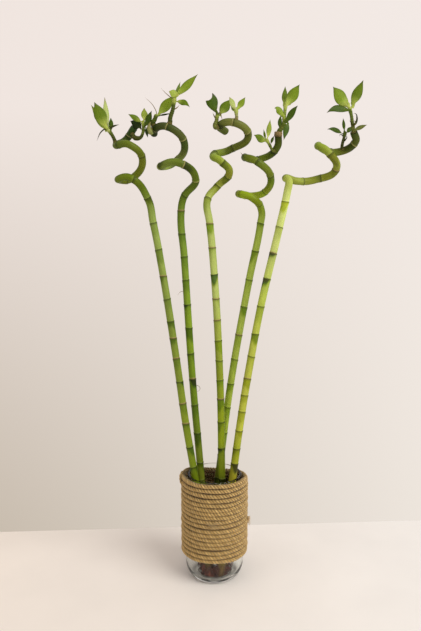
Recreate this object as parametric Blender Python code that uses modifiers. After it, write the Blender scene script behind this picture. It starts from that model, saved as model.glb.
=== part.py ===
"""Lucky bamboo in a glass jar: five curled canes with leafy shoots, standing in water.

The jar is wound with jute rope. Lengths in the tables are millimetres and become metres in
the mesh. The origin is the centre of the jar's flat base, +Z is up, +X is right and +Y is back.
"""

import math

import bmesh
import bpy
from mathutils import Vector
from mathutils.geometry import interpolate_bezier, intersect_point_line

MM = 0.001
GAP = 0.3
UP = Vector((0.0, 0.0, 1.0))
AWAY = Vector((0.0, 1.0, 0.0))
FULL_TURN = 2.0 * math.pi

# Jar: a plain tumbler with a rounded bottom corner and a slightly drawn-in mouth.
JAR_RADIUS = 36.0
JAR_HEIGHT = 130.0
JAR_WALL = 2.6
JAR_FLOOR = 7.5
JAR_BASE_RADIUS = 25.0
JAR_CORNER_HEIGHT = 20.0
JAR_SHOULDER_Z = 112.0
JAR_MOUTH_RADIUS = 33.2
JAR_STEPS = 32
WATER_LEVEL = 95.0

# Rope: wound from just above the bottom corner up to the rim. Its turns lie level at the front
# and dip at the back towards the rim, where both ends are tucked away.
ROPE_RADIUS = 2.75
ROPE_PITCH = 5.59
ROPE_TURNS = 17.6
ROPE_FIRST_Z = 34.8
ROPE_START_ANGLE = math.radians(150.0)
ROPE_FRONT_ANGLE = math.radians(270.0)
ROPE_BACK_DIP = 4.0
ROPE_POINTS_PER_TURN = 16

# Canes. Each route runs from the foot through the rim and up the straight, then through the
# places where the curl faces front, left, back and right in turn. Nodes are lengths along it.
CANE_SIDES = 2
FINE_STEP = 1.5
CANE_BEND = math.radians(24.0)
NODE_RING = 0.35
NODE_HALF_WIDTH = 1.3
CANES = {
    "cane_1": {
        "radius": (4.4, 4.2),
        "colour": (0.16, 0.27, 0.04),
        "nodes": [
            35, 61, 86, 111, 135.6, 161, 190.4, 215.6, 242.4, 270.4, 295.4, 316, 342.7, 370.1,
            402, 433.7, 464, 493, 535, 577.5, 612, 645,
        ],
        "route": [
            (-6, -15, 9), (-24, -9, 130), (-35, -6, 197), (-46, -1, 276), (-66.5, 7, 407),
            (-72.5, 9, 438), (-78, 10, 464), (-96, -4, 488), (-112.5, 9, 487), (-99, 22, 485.5),
            (-84, 11, 509), (-97, -4, 525), (-114, 9, 526), (-105, 19, 532), (-93, 13, 546),
        ],
    },
    "cane_2": {
        "radius": (4.4, 4.2),
        "colour": (0.12, 0.22, 0.04),
        "nodes": [
            38, 64, 88, 112, 134.9, 172.1, 207.3, 240.1, 271.6, 303.3, 331.8, 361, 389.5, 416.6,
            443.9, 463.7, 490.9, 521, 552, 592, 624.3, 647.6, 666,
        ],
        "route": [
            (-8, -1, 9), (-17, 5, 130), (-27, 11, 248), (-36.5, 17, 397), (-40, 19, 450),
            (-37, 18.5, 466), (-22, 0, 487), (-41, -19, 504), (-62.5, -1, 501), (-48, 17, 504),
            (-34.5, 2, 524), (-49, -14, 542), (-68, -1, 543), (-70, 8, 538),
        ],
    },
    "cane_3": {
        "radius": (4.4, 4.3),
        "colour": (0.24, 0.34, 0.05),
        "nodes": [
            32, 60, 88, 115.3, 153.9, 187.4, 216.2, 239.1, 263.5, 287.6, 312.9, 338.7, 367.9,
            399.5, 427.5, 457.3, 478.7, 496.1, 519.1, 545, 571.6, 607.3, 629.6, 650,
        ],
        "route": [
            (11, -1, 9), (9, 1, 130), (6.5, 5, 248), (-3, 10, 408), (-6, 11, 437), (-8.5, 12, 464),
            (3, 20, 479.5), (17, 11, 495), (7, 1, 507), (-2, 12, 514), (17, 27, 522),
            (38.5, 11, 535.5), (23, -4, 549), (5.5, 9, 547), (13, 19, 542),
        ],
    },
    "cane_4": {
        "radius": (4.4, 4.2),
        "colour": (0.24, 0.35, 0.06),
        "nodes": [
            28, 56, 84, 112, 141, 170.6, 203.2, 232.9, 264, 295.2, 329.8, 363.8, 398.9, 432.2,
            460, 488.3, 513, 540, 566.7, 592.7, 617, 641.3, 666.5,
        ],
        "route": [
            (-9, 13, 9), (6, 13.5, 130), (20, 18, 240), (42, 22, 369), (55, 24, 436),
            (56, 24, 451), (43.5, 9, 466), (28.5, 22, 471), (46, 39, 469), (60, 35, 473),
            (66.5, 22, 489), (49, 6, 507), (35.5, 21, 513), (53, 38, 512), (73.5, 24, 525),
            (74.5, 22, 539),
        ],
    },
    "cane_5": {
        "radius": (4.5, 4.4),
        "colour": (0.38, 0.46, 0.08),
        "nodes": [
            32, 60, 88, 114, 140.4, 159.4, 181.7, 204.9, 225, 245.4, 273.1, 300.4, 334.2, 367.6,
            398.3, 429.7, 460.1, 492, 518.5, 541.2, 563, 587.5, 611, 635.7, 666.9,
        ],
        "route": [
            (7, -17, 9), (22, -12, 130), (33, -7, 212), (44, -1, 279), (55, 3, 339), (76, 8, 432),
            (85, 10, 474), (86.5, 10.5, 485), (84, 17, 489), (97, 25, 486), (121, 32, 488),
            (143, 22, 499), (130, 9, 519), (121, 19, 526), (144, 35, 520), (165, 22, 531),
            (161, 14, 541),
        ],
    },
}

CHANNEL_STEP = 20.0

# Roots: a collar round each foot, with strands grown out of it on the compass sides listed.
ROOT_RADIUS = 0.8
ROOT_TIP_RADIUS = 0.5
ROOT_COLLAR_Z = 13.0
ROOT_REACH = 5.5
ROOT_SINK = 3.6
ROOT_SIDES = {
    "cane_1": (190, 245),
    "cane_2": (165, 210),
    "cane_3": (350, 50),
    "cane_4": (30, 140),
    "cane_5": (225, 350),
}

# Shoots: each grows out of its cane near the first point of its route. A leaf is given by where
# it leaves the shoot (0 foot, 1 end), the compass side it leaves on (0 right, 90 back, 180 left,
# 270 front), its tip, its width, and how far its middle arches up.
SHOOT_ROOT_LENGTH = 1.5
RING_REACH = 3.5
LEAF_THICKNESS = 0.6
LEAF_ROWS = 6
LEAF_BASE_SHARE = 0.26
LEAF_TIP_SHARE = 0.05
LEAF_CUP = 0.22
SHOOTS = {
    "shoot_1_left": {
        "cane": "cane_1",
        "radius": (2.1, 1.7),
        "route": [(-115, 7, 530), (-118, 5, 537), (-123, 3, 544)],
        "leaves": [
            (1.0, 255, (-136, -2, 572), 13.0, 1), (0.85, 165, (-142, 12, 571), 8.0, 0),
            (0.9, 80, (-127, 16, 580), 6.5, 0), (0.7, 330, (-117, 2, 555), 4.0, 2),
        ],
    },
    "shoot_1_end": {
        "cane": "cane_1",
        "radius": (1.9, 1.5),
        "route": [(-93, 10, 535), (-88, 8, 533), (-83, 6, 538), (-82, 4, 552)],
        "leaves": [
            (0.95, 220, (-98, 0, 559), 6.0, 1), (0.75, 170, (-97, 10, 553), 9.0, 1),
            (1.0, 320, (-80, 0, 566), 7.0, 0),
        ],
    },
    "shoot_2_top": {
        "cane": "cane_2",
        "radius": (2.4, 1.8),
        "route": [(-51, -14, 546), (-50, -14, 552), (-47, -13, 562), (-45, -11, 575)],
        "leaves": [
            (1.0, 300, (-19, -17, 599), 10.0, 0), (0.93, 210, (-49, -16, 582), 6.0, 1),
            (0.97, 70, (-39, -1, 594), 4.0, 0), (0.85, 350, (-28, -18, 564), 6.5, 5),
        ],
    },
    "shoot_2_end": {
        "cane": "cane_2",
        "radius": (2.2, 1.8),
        "route": [(-70, -2, 548), (-68, -3, 553), (-66, -3, 558)],
        "leaves": [
            (1.0, 60, (-45, 4, 580), 11.5, 1), (0.6, 250, (-71, -10, 562), 9.0, 0),
            (0.9, 330, (-49, -7, 559), 2.5, 0), (0.35, 190, (-75, -8, 531), 4.0, 9),
        ],
    },
    "shoot_3_end": {
        "cane": "cane_3",
        "radius": (2.0, 1.7),
        "route": [(2, 5, 546), (2, 4, 553), (3, 3, 560)],
        "leaves": [
            (1.0, 220, (0, -1, 581), 12.0, 0), (0.9, 30, (18, 9, 577), 10.5, 1),
        ],
    },
    "shoot_3_top": {
        "cane": "cane_3",
        "radius": (1.9, 1.7),
        "route": [(24, -5, 553), (24, -5, 560), (24, -5, 563)],
        "leaves": [
            (1.0, 230, (16, -11, 576), 6.0, 1), (1.0, 350, (34, -4, 577), 5.5, 0),
            (0.8, 140, (18, 1, 568), 2.5, 0),
        ],
    },
    "shoot_4_low": {
        "cane": "cane_4",
        "radius": (1.6, 1.4),
        "route": [(68, 20, 520), (64, 18, 527), (60, 15, 533)],
        "leaves": [
            (0.85, 215, (45, 6, 537), 8.0, 1), (1.0, 330, (64, 14, 555), 5.5, 0),
            (0.95, 110, (57, 21, 545), 2.5, 0), (0.6, 330, (68, 9, 536), 3.0, 1),
        ],
    },
    "shoot_4_top": {
        "cane": "cane_4",
        "radius": (2.0, 1.7),
        "route": [(78, 20, 540), (80, 20, 550), (81, 20, 561), (82, 20, 571)],
        "leaves": [
            (1.0, 110, (82, 26, 594), 6.5, 0), (0.97, 300, (97, 14, 594), 13.0, 0),
            (0.85, 210, (69, 16, 568), 5.5, 3), (0.65, 340, (95, 11, 570), 6.0, 2),
            (0.2, 200, (76, 14, 560), 4.5, 0), (0.45, 285, (80, 5, 532), 7.0, 10),
        ],
    },
    "shoot_5_low": {
        "cane": "cane_5",
        "radius": (1.9, 1.5),
        "route": [(151, 29, 525), (151, 26, 531), (152, 22, 538), (152, 20, 542)],
        "leaves": [
            (0.9, 215, (131, 12, 544), 4.0, 5), (1.0, 100, (150, 23, 558), 3.5, 0),
            (0.95, 325, (161, 22, 548), 5.0, 1),
        ],
    },
    "shoot_5_top": {
        "cane": "cane_5",
        "radius": (2.0, 1.7),
        "route": [(160, 12, 545), (158, 9.5, 551), (156.5, 9, 559), (154, 8, 567)],
        "leaves": [
            (1.0, 220, (133, 0, 589), 16.0, 1), (1.0, 20, (169, 10, 598), 9.5, 0),
            (0.88, 250, (126, -4, 560), 8.0, 8), (0.25, 330, (174, 5, 548), 4.5, 3),
        ],
    },
}
SHOOT_SIDES = 2
LEAF_COLOUR = (0.11, 0.27, 0.03)
SHOOT_COLOUR = (0.25, 0.36, 0.08)


def clear_scene():
    for old in list(bpy.data.objects):
        bpy.data.objects.remove(old, do_unlink=True)


def new_collection(name):
    collection = bpy.data.collections.new(name)
    bpy.context.scene.collection.children.link(collection)
    return collection


def new_material(name, colour, roughness, alpha=1.0):
    material = bpy.data.materials.new(name)
    material.use_nodes = True
    shader = material.node_tree.nodes["Principled BSDF"]
    shader.inputs["Base Color"].default_value = (*colour, 1.0)
    shader.inputs["Roughness"].default_value = roughness
    shader.inputs["Metallic"].default_value = 0.0
    shader.inputs["Alpha"].default_value = alpha
    return material


def add_part(name, data, material, parts, parent):
    """A finished sub-part: named, in the object's collection, and under its empty."""
    part = bpy.data.objects.new(name, data)
    parts.objects.link(part)
    part.parent = parent
    if material:
        data.materials.append(material)
    return part


def smooth_route(points, step):
    """A smooth curve through points, with four round quarters making a round turn."""
    knots = [Vector(p) for p in points]
    before = []
    after = []
    for i, knot in enumerate(knots):
        back = knot - knots[i - 1] if i else knots[1] - knot
        ahead = knots[i + 1] - knot if i < len(knots) - 1 else back
        heading = (back.normalized() + ahead.normalized()).normalized()
        before.append(knot - heading * back.length * 0.39)
        after.append(knot + heading * ahead.length * 0.39)
    route = [knots[0]]
    for i in range(len(knots) - 1):
        spans = max(2, round((knots[i + 1] - knots[i]).length / step))
        route += interpolate_bezier(knots[i], after[i], before[i + 1], knots[i + 1], spans + 1)[1:]
    return route


def tube_curve(name, route, radii, sides):
    """A poly curve with filled caps, its origin at the route's first point."""
    curve = bpy.data.curves.new(name, "CURVE")
    curve.dimensions = "3D"
    curve.bevel_depth = radii[0] * MM
    curve.bevel_resolution = sides
    curve.use_fill_caps = True
    spline = curve.splines.new("POLY")
    spline.points.add(len(route) - 1)
    for point, place, radius in zip(spline.points, route, radii):
        point.co = (*((place - route[0]) * MM), 1.0)
        point.radius = radius / radii[0]
    return curve


def tapered(radius_pair, count):
    first, last = radius_pair
    return [first + (last - first) * i / (count - 1) for i in range(count)]


def mesh_from_curve(name, curve, location, collection):
    """The curve's solid as a mesh object with its caps welded on."""
    source = bpy.data.objects.new(name + "_curve", curve)
    collection.objects.link(source)
    source.location = location
    bpy.context.view_layer.update()
    graph = bpy.context.evaluated_depsgraph_get()
    mesh = bpy.data.meshes.new_from_object(source.evaluated_get(graph))
    solid = bpy.data.objects.new(name, mesh)
    solid.matrix_world = source.matrix_world.copy()
    collection.objects.link(solid)
    bpy.data.objects.remove(source, do_unlink=True)
    shape = bmesh.new()
    shape.from_mesh(mesh)
    bmesh.ops.remove_doubles(shape, verts=shape.verts, dist=1e-6)
    shape.to_mesh(mesh)
    shape.free()
    return solid


def as_cutter(solid):
    solid.hide_render = True
    solid.display_type = "WIRE"


def subtract(part, name, cutter):
    cut = part.modifiers.new(name, "BOOLEAN")
    cut.operation = "DIFFERENCE"
    cut.solver = "EXACT"
    cut.object = cutter


def arc(centre_r, centre_z, radius, start, end, count):
    """Points (r, z) along an arc, with angles in degrees from the +r direction."""
    points = []
    for i in range(count):
        angle = math.radians(start + (end - start) * i / (count - 1))
        points.append((centre_r + radius * math.cos(angle), centre_z + radius * math.sin(angle)))
    return points


def turned(name, profile, material, parts, parent):
    """A solid of revolution. The profile runs down the outer side, from the axis to the axis."""
    mesh = bpy.data.meshes.new(name)
    shape = bmesh.new()
    ring = [shape.verts.new((r * MM, 0.0, z * MM)) for r, z in profile]
    for start, end in zip(ring, ring[1:]):
        shape.edges.new((start, end))
    shape.to_mesh(mesh)
    shape.free()
    part = add_part(name, mesh, material, parts, parent)
    screw = part.modifiers.new("turn", "SCREW")
    screw.steps = JAR_STEPS
    screw.render_steps = JAR_STEPS
    screw.use_merge_vertices = True
    screw.merge_threshold = 0.00001
    return part


def jar_inner_corner(clear):
    """The inner wall's rounded bottom corner, as (r, z) from the wall down to the floor."""
    reach = JAR_RADIUS - JAR_WALL - clear
    flat = JAR_BASE_RADIUS - JAR_WALL - clear
    floor = JAR_FLOOR + clear
    rise = JAR_CORNER_HEIGHT - JAR_FLOOR
    corner = []
    for r_share, z_share in ((p[0], p[1]) for p in arc(0.0, 0.0, 1.0, 0.0, -90.0, 6)):
        corner.append((flat + (reach - flat) * r_share, floor + rise * (1.0 + z_share)))
    return corner


def build_jar(parts, parent):
    wall_top = JAR_MOUTH_RADIUS - JAR_WALL / 2
    rim = arc(wall_top, JAR_HEIGHT - JAR_WALL / 2, JAR_WALL / 2, 170.0, 0.0, 5)
    outer_corner = []
    for r_share, z_share in arc(0.0, 0.0, 1.0, 0.0, -90.0, 6):
        r = JAR_BASE_RADIUS + (JAR_RADIUS - JAR_BASE_RADIUS) * r_share
        outer_corner.append((r, JAR_CORNER_HEIGHT * (1.0 + z_share)))
    inner_wall = [
        (JAR_RADIUS - JAR_WALL, JAR_SHOULDER_Z),
        (JAR_MOUTH_RADIUS - JAR_WALL, JAR_HEIGHT - 8.0),
    ]
    inside = [(0.0, JAR_FLOOR)] + jar_inner_corner(0.0)[::-1] + inner_wall
    outer_wall = [(JAR_MOUTH_RADIUS, JAR_HEIGHT - 8.0), (JAR_RADIUS, JAR_SHOULDER_Z)]
    profile = inside + rim + outer_wall + outer_corner + [(0.0, 0.0)]
    glass = new_material("clear_glass", (0.85, 0.90, 0.88), 0.05, 0.35)
    return turned("glass_jar", profile, glass, parts, parent)


def build_water(parts, parent, cutters):
    reach = JAR_RADIUS - JAR_WALL - GAP
    profile = [(0.0, WATER_LEVEL), (reach, WATER_LEVEL)] + jar_inner_corner(GAP)
    profile.append((0.0, JAR_FLOOR + GAP))
    water = new_material("water", (0.80, 0.86, 0.82), 0.02, 0.3)
    part = turned("water", profile, water, parts, parent)
    for cutter in cutters:
        subtract(part, "around_" + cutter.name, cutter)
    return part


def rope_route():
    """The winding, turn on turn, from its lower end to its upper one."""
    sagitta = JAR_RADIUS * (1.0 - math.cos(math.pi / ROPE_POINTS_PER_TURN))
    reach = JAR_RADIUS + GAP + ROPE_RADIUS + sagitta
    level = ROPE_PITCH / FULL_TURN
    route = []
    for i in range(round(ROPE_TURNS * ROPE_POINTS_PER_TURN) + 1):
        turn = i / ROPE_POINTS_PER_TURN
        angle = ROPE_START_ANGLE + FULL_TURN * turn
        climb = level * (angle - ROPE_FRONT_ANGLE) - level * math.cos(angle)
        dip = ROPE_BACK_DIP * max(0.0, math.sin(angle)) ** 2 * turn / ROPE_TURNS
        height = ROPE_FIRST_Z + climb - dip
        route.append(Vector((reach * math.cos(angle), reach * math.sin(angle), height)))
    return route


def build_rope(parts, parent):
    route = rope_route()
    jute = new_material("jute", (0.52, 0.34, 0.15), 0.9)
    curve = tube_curve("jute_rope", route, [ROPE_RADIUS] * len(route), 1)
    rope = add_part("jute_rope", curve, jute, parts, parent)
    rope.location = route[0] * MM
    return rope


def cane_shape(spec):
    """The cane's route and its radius at each point, with a low ring at every node."""
    fine = smooth_route(spec["route"], FINE_STEP)
    length = sum((b - a).length for a, b in zip(fine, fine[1:]))
    first, last = spec["radius"]
    route = [fine[0]]
    radii = [first]
    travelled = 0.0
    waiting = list(spec["nodes"])
    heading = fine[1] - fine[0]
    for here, ahead in zip(fine[1:], fine[2:]):
        travelled += (ahead - here).length
        share = travelled / length
        radius = first + (last - first) * share
        along = (ahead - here).normalized()
        if waiting and travelled >= waiting[0]:
            for offset, swell in ((-NODE_HALF_WIDTH, 0.0), (0.0, NODE_RING), (NODE_HALF_WIDTH, 0.0)):
                route.append(here + along * offset)
                radii.append(radius + swell)
            waiting.pop(0)
            heading = along
        elif heading.angle(along) > CANE_BEND:
            route.append(here)
            radii.append(radius)
            heading = along
    return route + [fine[-1]], radii + [last]


def build_canes(parts, parent):
    for name, spec in CANES.items():
        route, radii = cane_shape(spec)
        material = new_material(name + "_skin", spec["colour"], 0.4)
        cane = add_part(name, tube_curve(name, route, radii, CANE_SIDES), material, parts, parent)
        cane.location = route[0] * MM


def cane_cutter(name, spec, cutters):
    """A channel for the cane's foot through the water, a gap wider than the cane."""
    route = smooth_route(spec["route"], CHANNEL_STEP)
    route = [p for p in route if p.z < WATER_LEVEL + CHANNEL_STEP]
    route[0] = route[0] * 2 - route[0].lerp(route[1], 4.0 / CHANNEL_STEP)
    wide = spec["radius"][0] + NODE_RING + GAP
    curve = tube_curve(name, route, [wide] * len(route), CANE_SIDES)
    channel = mesh_from_curve(name, curve, route[0] * MM, cutters)
    as_cutter(channel)
    return channel


def root_strand(centre, outward, clear, name, collection):
    """One root: out from the collar, then down towards the jar's floor."""
    side = outward.cross(UP)
    ring = centre + outward * (CANES["cane_1"]["radius"][0] + GAP + ROOT_RADIUS)
    route = [
        ring,
        ring + outward * ROOT_REACH * 0.5 - UP * ROOT_SINK * 0.3,
        ring + outward * ROOT_REACH + side * 1.5 - UP * ROOT_SINK,
    ]
    radii = tapered((ROOT_RADIUS + clear, ROOT_TIP_RADIUS + clear), len(route))
    if clear:
        route[0] = route[0] - (route[1] - route[0]).normalized() * clear
        route[-1] = route[-1] + (route[-1] - route[-2]).normalized() * clear
    return mesh_from_curve(name, tube_curve(name, route, radii, 0), route[0] * MM, collection)


def root_tuft(name, cane, clear, collection):
    """A collar round the cane's foot with root strands grown out of it."""
    spec = CANES[cane]
    foot, rim = (Vector(p) for p in spec["route"][:2])
    centre = foot + (rim - foot) * (ROOT_COLLAR_Z - foot.z) / (rim.z - foot.z)
    bpy.ops.mesh.primitive_torus_add(
        major_segments=12,
        minor_segments=4,
        major_radius=(spec["radius"][0] + NODE_RING + GAP + ROOT_RADIUS) * MM,
        minor_radius=(ROOT_RADIUS + clear) * MM,
        location=centre * MM,
    )
    collar = bpy.context.object
    collar.name = name
    for holder in list(collar.users_collection):
        holder.objects.unlink(collar)
    collection.objects.link(collar)
    for angle in ROOT_SIDES[cane]:
        outward = Vector((math.cos(math.radians(angle)), math.sin(math.radians(angle)), 0.0))
        strand = root_strand(centre, outward, clear, f"{name}_strand_{angle}", collection)
        as_cutter(strand)
        join = collar.modifiers.new(strand.name, "BOOLEAN")
        join.operation = "UNION"
        join.solver = "EXACT"
        join.object = strand
    return collar


def build_roots(parts, parent, cutters):
    root = new_material("root", (0.22, 0.06, 0.03), 0.6)
    channels = []
    for name, spec in CANES.items():
        label = name.replace("cane", "roots")
        tuft = root_tuft(label, name, 0.0, parts)
        tuft.parent = parent
        tuft.data.materials.append(root)
        pocket = root_tuft(label + "_pocket", name, GAP, cutters)
        as_cutter(pocket)
        channels += [cane_cutter(name + "_channel", spec, cutters), pocket]
    for strand in [o for o in parts.objects if "_strand_" in o.name]:
        parts.objects.unlink(strand)
        cutters.objects.link(strand)
    return channels


def seat_on_cane(spec, place):
    """Where a shoot near that place starts, just clear of the cane, and which way it leaves."""
    route, radii = cane_shape(spec)
    hearts = []
    for a, b in zip(route, route[1:]):
        share = min(max(intersect_point_line(place, a, b)[1], 0.0), 1.0)
        hearts.append(a.lerp(b, share))
    heart = min(hearts, key=lambda p: (p - place).length)
    if heart == route[-1]:
        outward = (route[-1] - route[-2]).normalized()
        return heart + outward * GAP, outward
    outward = (place - heart).normalized()
    nearby = [r for p, r in zip(route, radii) if (p - heart).length < RING_REACH]
    return heart + outward * (max(nearby + [spec["radius"][1]]) + GAP), outward


def shoot_route(spec):
    """The shoot's route, started on the skin or the cut end of its cane."""
    start, outward = seat_on_cane(CANES[spec["cane"]], Vector(spec["route"][0]))
    rest = [Vector(p) for p in spec["route"][1:]]
    return smooth_route([start, start + outward * SHOOT_ROOT_LENGTH] + rest, 3.0)


def point_along(route, share):
    """The place and the heading at a share of the route's points."""
    at = share * (len(route) - 1)
    i = min(int(at), len(route) - 2)
    return route[i].lerp(route[i + 1], at - i), (route[i + 1] - route[i]).normalized()


def blade_share(s):
    """How wide a leaf is along its length: a narrow foot, broad before the middle, a fine tip."""
    body = math.sin(math.pi * min(s, 1.0) ** 0.75) ** 0.9 if 0.0 < s < 1.0 else 0.0
    return max(body, LEAF_BASE_SHARE * (1.0 - s) ** 2, LEAF_TIP_SHARE)


def leaf_mesh(name, route, radii, leaf):
    """A leaf blade from its shoot to its tip, cupped along the midrib."""
    share, side, tip, width, arch_up = leaf
    radius = radii[0] + (radii[-1] - radii[0]) * share
    centre, heading = point_along(route, share)
    compass = Vector((math.cos(math.radians(side)), math.sin(math.radians(side)), 0.0))
    outward = (compass - heading * compass.dot(heading)).normalized()
    base = centre + outward * (radius + GAP + LEAF_THICKNESS / 2)
    tip = Vector(tip)
    chord = tip - base
    first = base + (outward * 0.6 + heading * 0.8) * chord.length * 0.3
    second = base + chord * 0.62 + UP * arch_up
    base_across = outward.cross(heading).normalized()
    face_across = chord.cross(AWAY).normalized()
    if base_across.dot(face_across) < 0.0:
        base_across = -base_across

    mesh = bpy.data.meshes.new(name)
    shape = bmesh.new()
    bmesh.ops.create_grid(shape, x_segments=2, y_segments=LEAF_ROWS, size=0.5)
    for vert in shape.verts:
        s = vert.co.y + 0.5
        edge = vert.co.x * 2.0
        a, b, c, d = (1 - s) ** 3, 3 * (1 - s) ** 2 * s, 3 * (1 - s) * s * s, s**3
        midrib = base * a + first * b + second * c + tip * d
        turned_in = min(1.0, s / 0.4)
        across = base_across.lerp(face_across, turned_in * turned_in * (3 - 2 * turned_in))
        across.normalize()
        half = 0.5 * width * blade_share(s)
        lift = across.cross(chord.normalized())
        cup = LEAF_CUP * half * abs(edge) * min(1.0, 4.0 * s)
        vert.co = (midrib + across * half * edge + lift * cup - base) * MM
    shape.to_mesh(mesh)
    shape.free()
    return mesh, base


def build_shoots(parts, parent):
    stem = new_material("shoot", SHOOT_COLOUR, 0.45)
    blade = new_material("leaf", LEAF_COLOUR, 0.35)
    for name, spec in SHOOTS.items():
        route = shoot_route(spec)
        radii = tapered(spec["radius"], len(route))
        shoot = add_part(name, tube_curve(name, route, radii, SHOOT_SIDES), stem, parts, parent)
        shoot.location = route[0] * MM
        for number, leaf in enumerate(spec["leaves"], 1):
            label = f"{name.replace('shoot', 'leaf')}_{number}"
            mesh, base = leaf_mesh(label, route, radii, leaf)
            part = add_part(label, mesh, blade, parts, parent)
            part.location = base * MM
            shell = part.modifiers.new("thickness", "SOLIDIFY")
            shell.thickness = LEAF_THICKNESS * MM
            shell.offset = 0.0


def shade_round_parts(parts):
    for part in parts.objects:
        if part.type == "MESH":
            part.data.shade_smooth()
            part.data.set_sharp_from_angle(angle=math.radians(40.0))


def main():
    clear_scene()
    parts = new_collection("lucky_bamboo")
    cutters = new_collection("cutters")
    parent = bpy.data.objects.new("lucky_bamboo", None)
    parts.objects.link(parent)
    build_jar(parts, parent)
    channels = build_roots(parts, parent, cutters)
    build_water(parts, parent, channels)
    build_rope(parts, parent)
    build_canes(parts, parent)
    build_shoots(parts, parent)
    shade_round_parts(parts)


main()
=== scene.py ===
"""The looks of the lucky bamboo: canes, leaves, jute rope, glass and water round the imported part.

Lengths in the tables and in the shapes are millimetres along the frame's axes, and become metres
when a piece is made. +X is right, +Y is back and +Z is up. Colours in the tables are sRGB bytes.
"""

import collections
import math

import bpy
import numpy as np
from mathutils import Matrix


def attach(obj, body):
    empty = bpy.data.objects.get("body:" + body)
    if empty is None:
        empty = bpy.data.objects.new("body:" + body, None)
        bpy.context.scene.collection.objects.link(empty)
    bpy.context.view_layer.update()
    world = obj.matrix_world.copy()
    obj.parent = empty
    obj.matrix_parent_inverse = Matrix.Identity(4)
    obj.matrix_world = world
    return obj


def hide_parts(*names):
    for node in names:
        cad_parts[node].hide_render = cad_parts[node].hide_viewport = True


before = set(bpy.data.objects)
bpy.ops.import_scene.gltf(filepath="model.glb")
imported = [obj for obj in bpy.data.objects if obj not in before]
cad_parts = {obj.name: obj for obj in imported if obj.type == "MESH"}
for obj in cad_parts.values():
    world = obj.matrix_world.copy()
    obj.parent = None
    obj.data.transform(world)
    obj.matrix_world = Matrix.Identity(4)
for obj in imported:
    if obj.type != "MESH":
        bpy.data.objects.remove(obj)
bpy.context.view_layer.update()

MM = 0.001
TURN = 2 * math.pi
UP = np.array([0, 0, 1])
FRONT = np.array([0, -1, 0])
BACK = -FRONT
LEVEL = np.array([1, 1, 0])
CURVE_STEPS = 40
CURVE_HANDLE = 0.39
random = np.random.default_rng(88)
spread = random.uniform

# Camera, table, and a key light and a weak fill, in metres. A light is: place, size, power, colour.
CAMERA_PLACE = (-0.005, -0.763, 0.449)
CAMERA_PITCH = 81
CAMERA_LENS = 37.08
TABLE_BACK = 0.122
TABLE_SLANT = 0.059
TABLE_HALF = 1.5
TABLE_DEPTH = 1.4
TABLE_THICK = 0.03
LIGHT_AIM = (0, 0, 0.3)
LIGHTS = {
    "key": ((4.1, -3.4, 4.5), 5, 292, (1, 0.98, 0.95)),
    "fill": ((-4, -2.9, 2.9), 4, 16, (0.95, 0.97, 1)),
}

# The room: its colours at the left and the right, low and high, where they end along the view's
# X and Z, and how strongly it lights what isn't seen straight or through glass. The darker low
# left is a painted shadow on the wall.
ROOM_SHADED_COLOURS = (((198, 186, 171), (238, 230, 221)), ((240, 229, 223), (243, 234, 229)))
ROOM_WIDE = (-0.32, 0.32)
ROOM_HIGH = (-0.45, 0.15)
ROOM_LIGHT = 0.70

# Living skins: noise scales of the streaks and the flecks, how strong each is, roughness,
# specular level and subsurface weight.
SKINS = {
    "cane_skin": ((0.9, 0.9, 0.07), (1.6, 1.6, 1.1), 0.16, 0.05, 0.36, 0.18, 0),
    "shoot_skin": ((1.4, 1.4, 0.3), (3, 3, 2.2), 0.2, 0.06, 0.42, 0.16, 0),
    "leaf_skin": ((1.5, 1, 0.03), (0.4, 1, 0.03), 0.12, 0.03, 0.42, 0.16, 0.12),
    "root_skin": ((1.6, 1.6, 0.4), (4, 4, 4), 0.25, 0.1, 0.5, 0.2, 0),
}

# Clear materials: ripple scale, bump strength and distance, index, and two linear colours.
CLEARS = {
    "pressed_glass": (
        (60, 60, 35), (0.12, 0.0008), 1.28,
        (0.955, 0.975, 0.96, 1), (0.985, 0.99, 0.98, 1),
    ),
    "vase_water": (
        (45, 45, 20), (0.05, 0.0005), 1.07,
        (0.95, 0.96, 0.93, 1), (0.985, 0.985, 0.965, 1),
    ),
}

# Jar and water.
JAR_RADIUS = 36
JAR_HEIGHT = 131.4
JAR_WALL = 2.6
JAR_FLOOR = 4
JAR_BASE_RADIUS = 25
JAR_CORNER_HEIGHT = 20
JAR_SHOULDER_Z = 112
JAR_NECK = 4
JAR_MOUTH_RADIUS = 33.2
JAR_FOOT = ((0, 0.3), (20, 0.3), (22, 0.1), (24, 0))
JAR_SIDES = 96
WATER_LEVEL = 95
WATER_BITE = 0.05
MENISCUS = 1.1
MENISCUS_WIDTH = 3.4

# Rope: the front heights of its turns, its three twisted strands, and its loose fibres.
TURN_HEIGHTS = (
    34.8, 39.9, 45.8, 51.7, 57, 62, 67.1, 72.7, 78.8, 84.7, 90.1, 95.1, 100.1, 105.4, 111.4,
    117.5, 123.6, 129.6,
)
ROPE_REACH = 38.85
ROPE_START = math.radians(150)
ROPE_FRONT = math.radians(270)
ROPE_SWEEP = TURN * 17.54
ROPE_BACK_DIP = 7
ROPE_STEP = 1
ROPE_TALL = 1.08
ROPE_TAPER = 7
ROPE_COLOURS = ((217, 183, 115), (196, 160, 94))
ROPE_LOOSE_END = (
    (-38, -13.6, 119.5), (-40, -8.4, 123), (-40.9, -4, 128), (-40, -1, 134),
)
STRAND_COUNT = 3
STRAND_RADIUS = 1.36
STRAND_ORBIT = 1.44
STRAND_SIDES = 7
STRAND_LAY = 11
# The packing: a dark tube against the jar between the rope's turns, whose dark brown is painted
# shade.
FILL_RADIUS = 1.35
FILL_REACH = JAR_RADIUS + 1.4
FILL_STEPS = 1700
FILL_SHADE_COLOUR = (104, 72, 30)
FIBRE_COUNT = 420
FIBRE_COLOURS = ((214, 188, 142), (176, 142, 92))
HAIR_STEPS = 7
TUFT_PLACE = (41, -6, 72.5)
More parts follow.
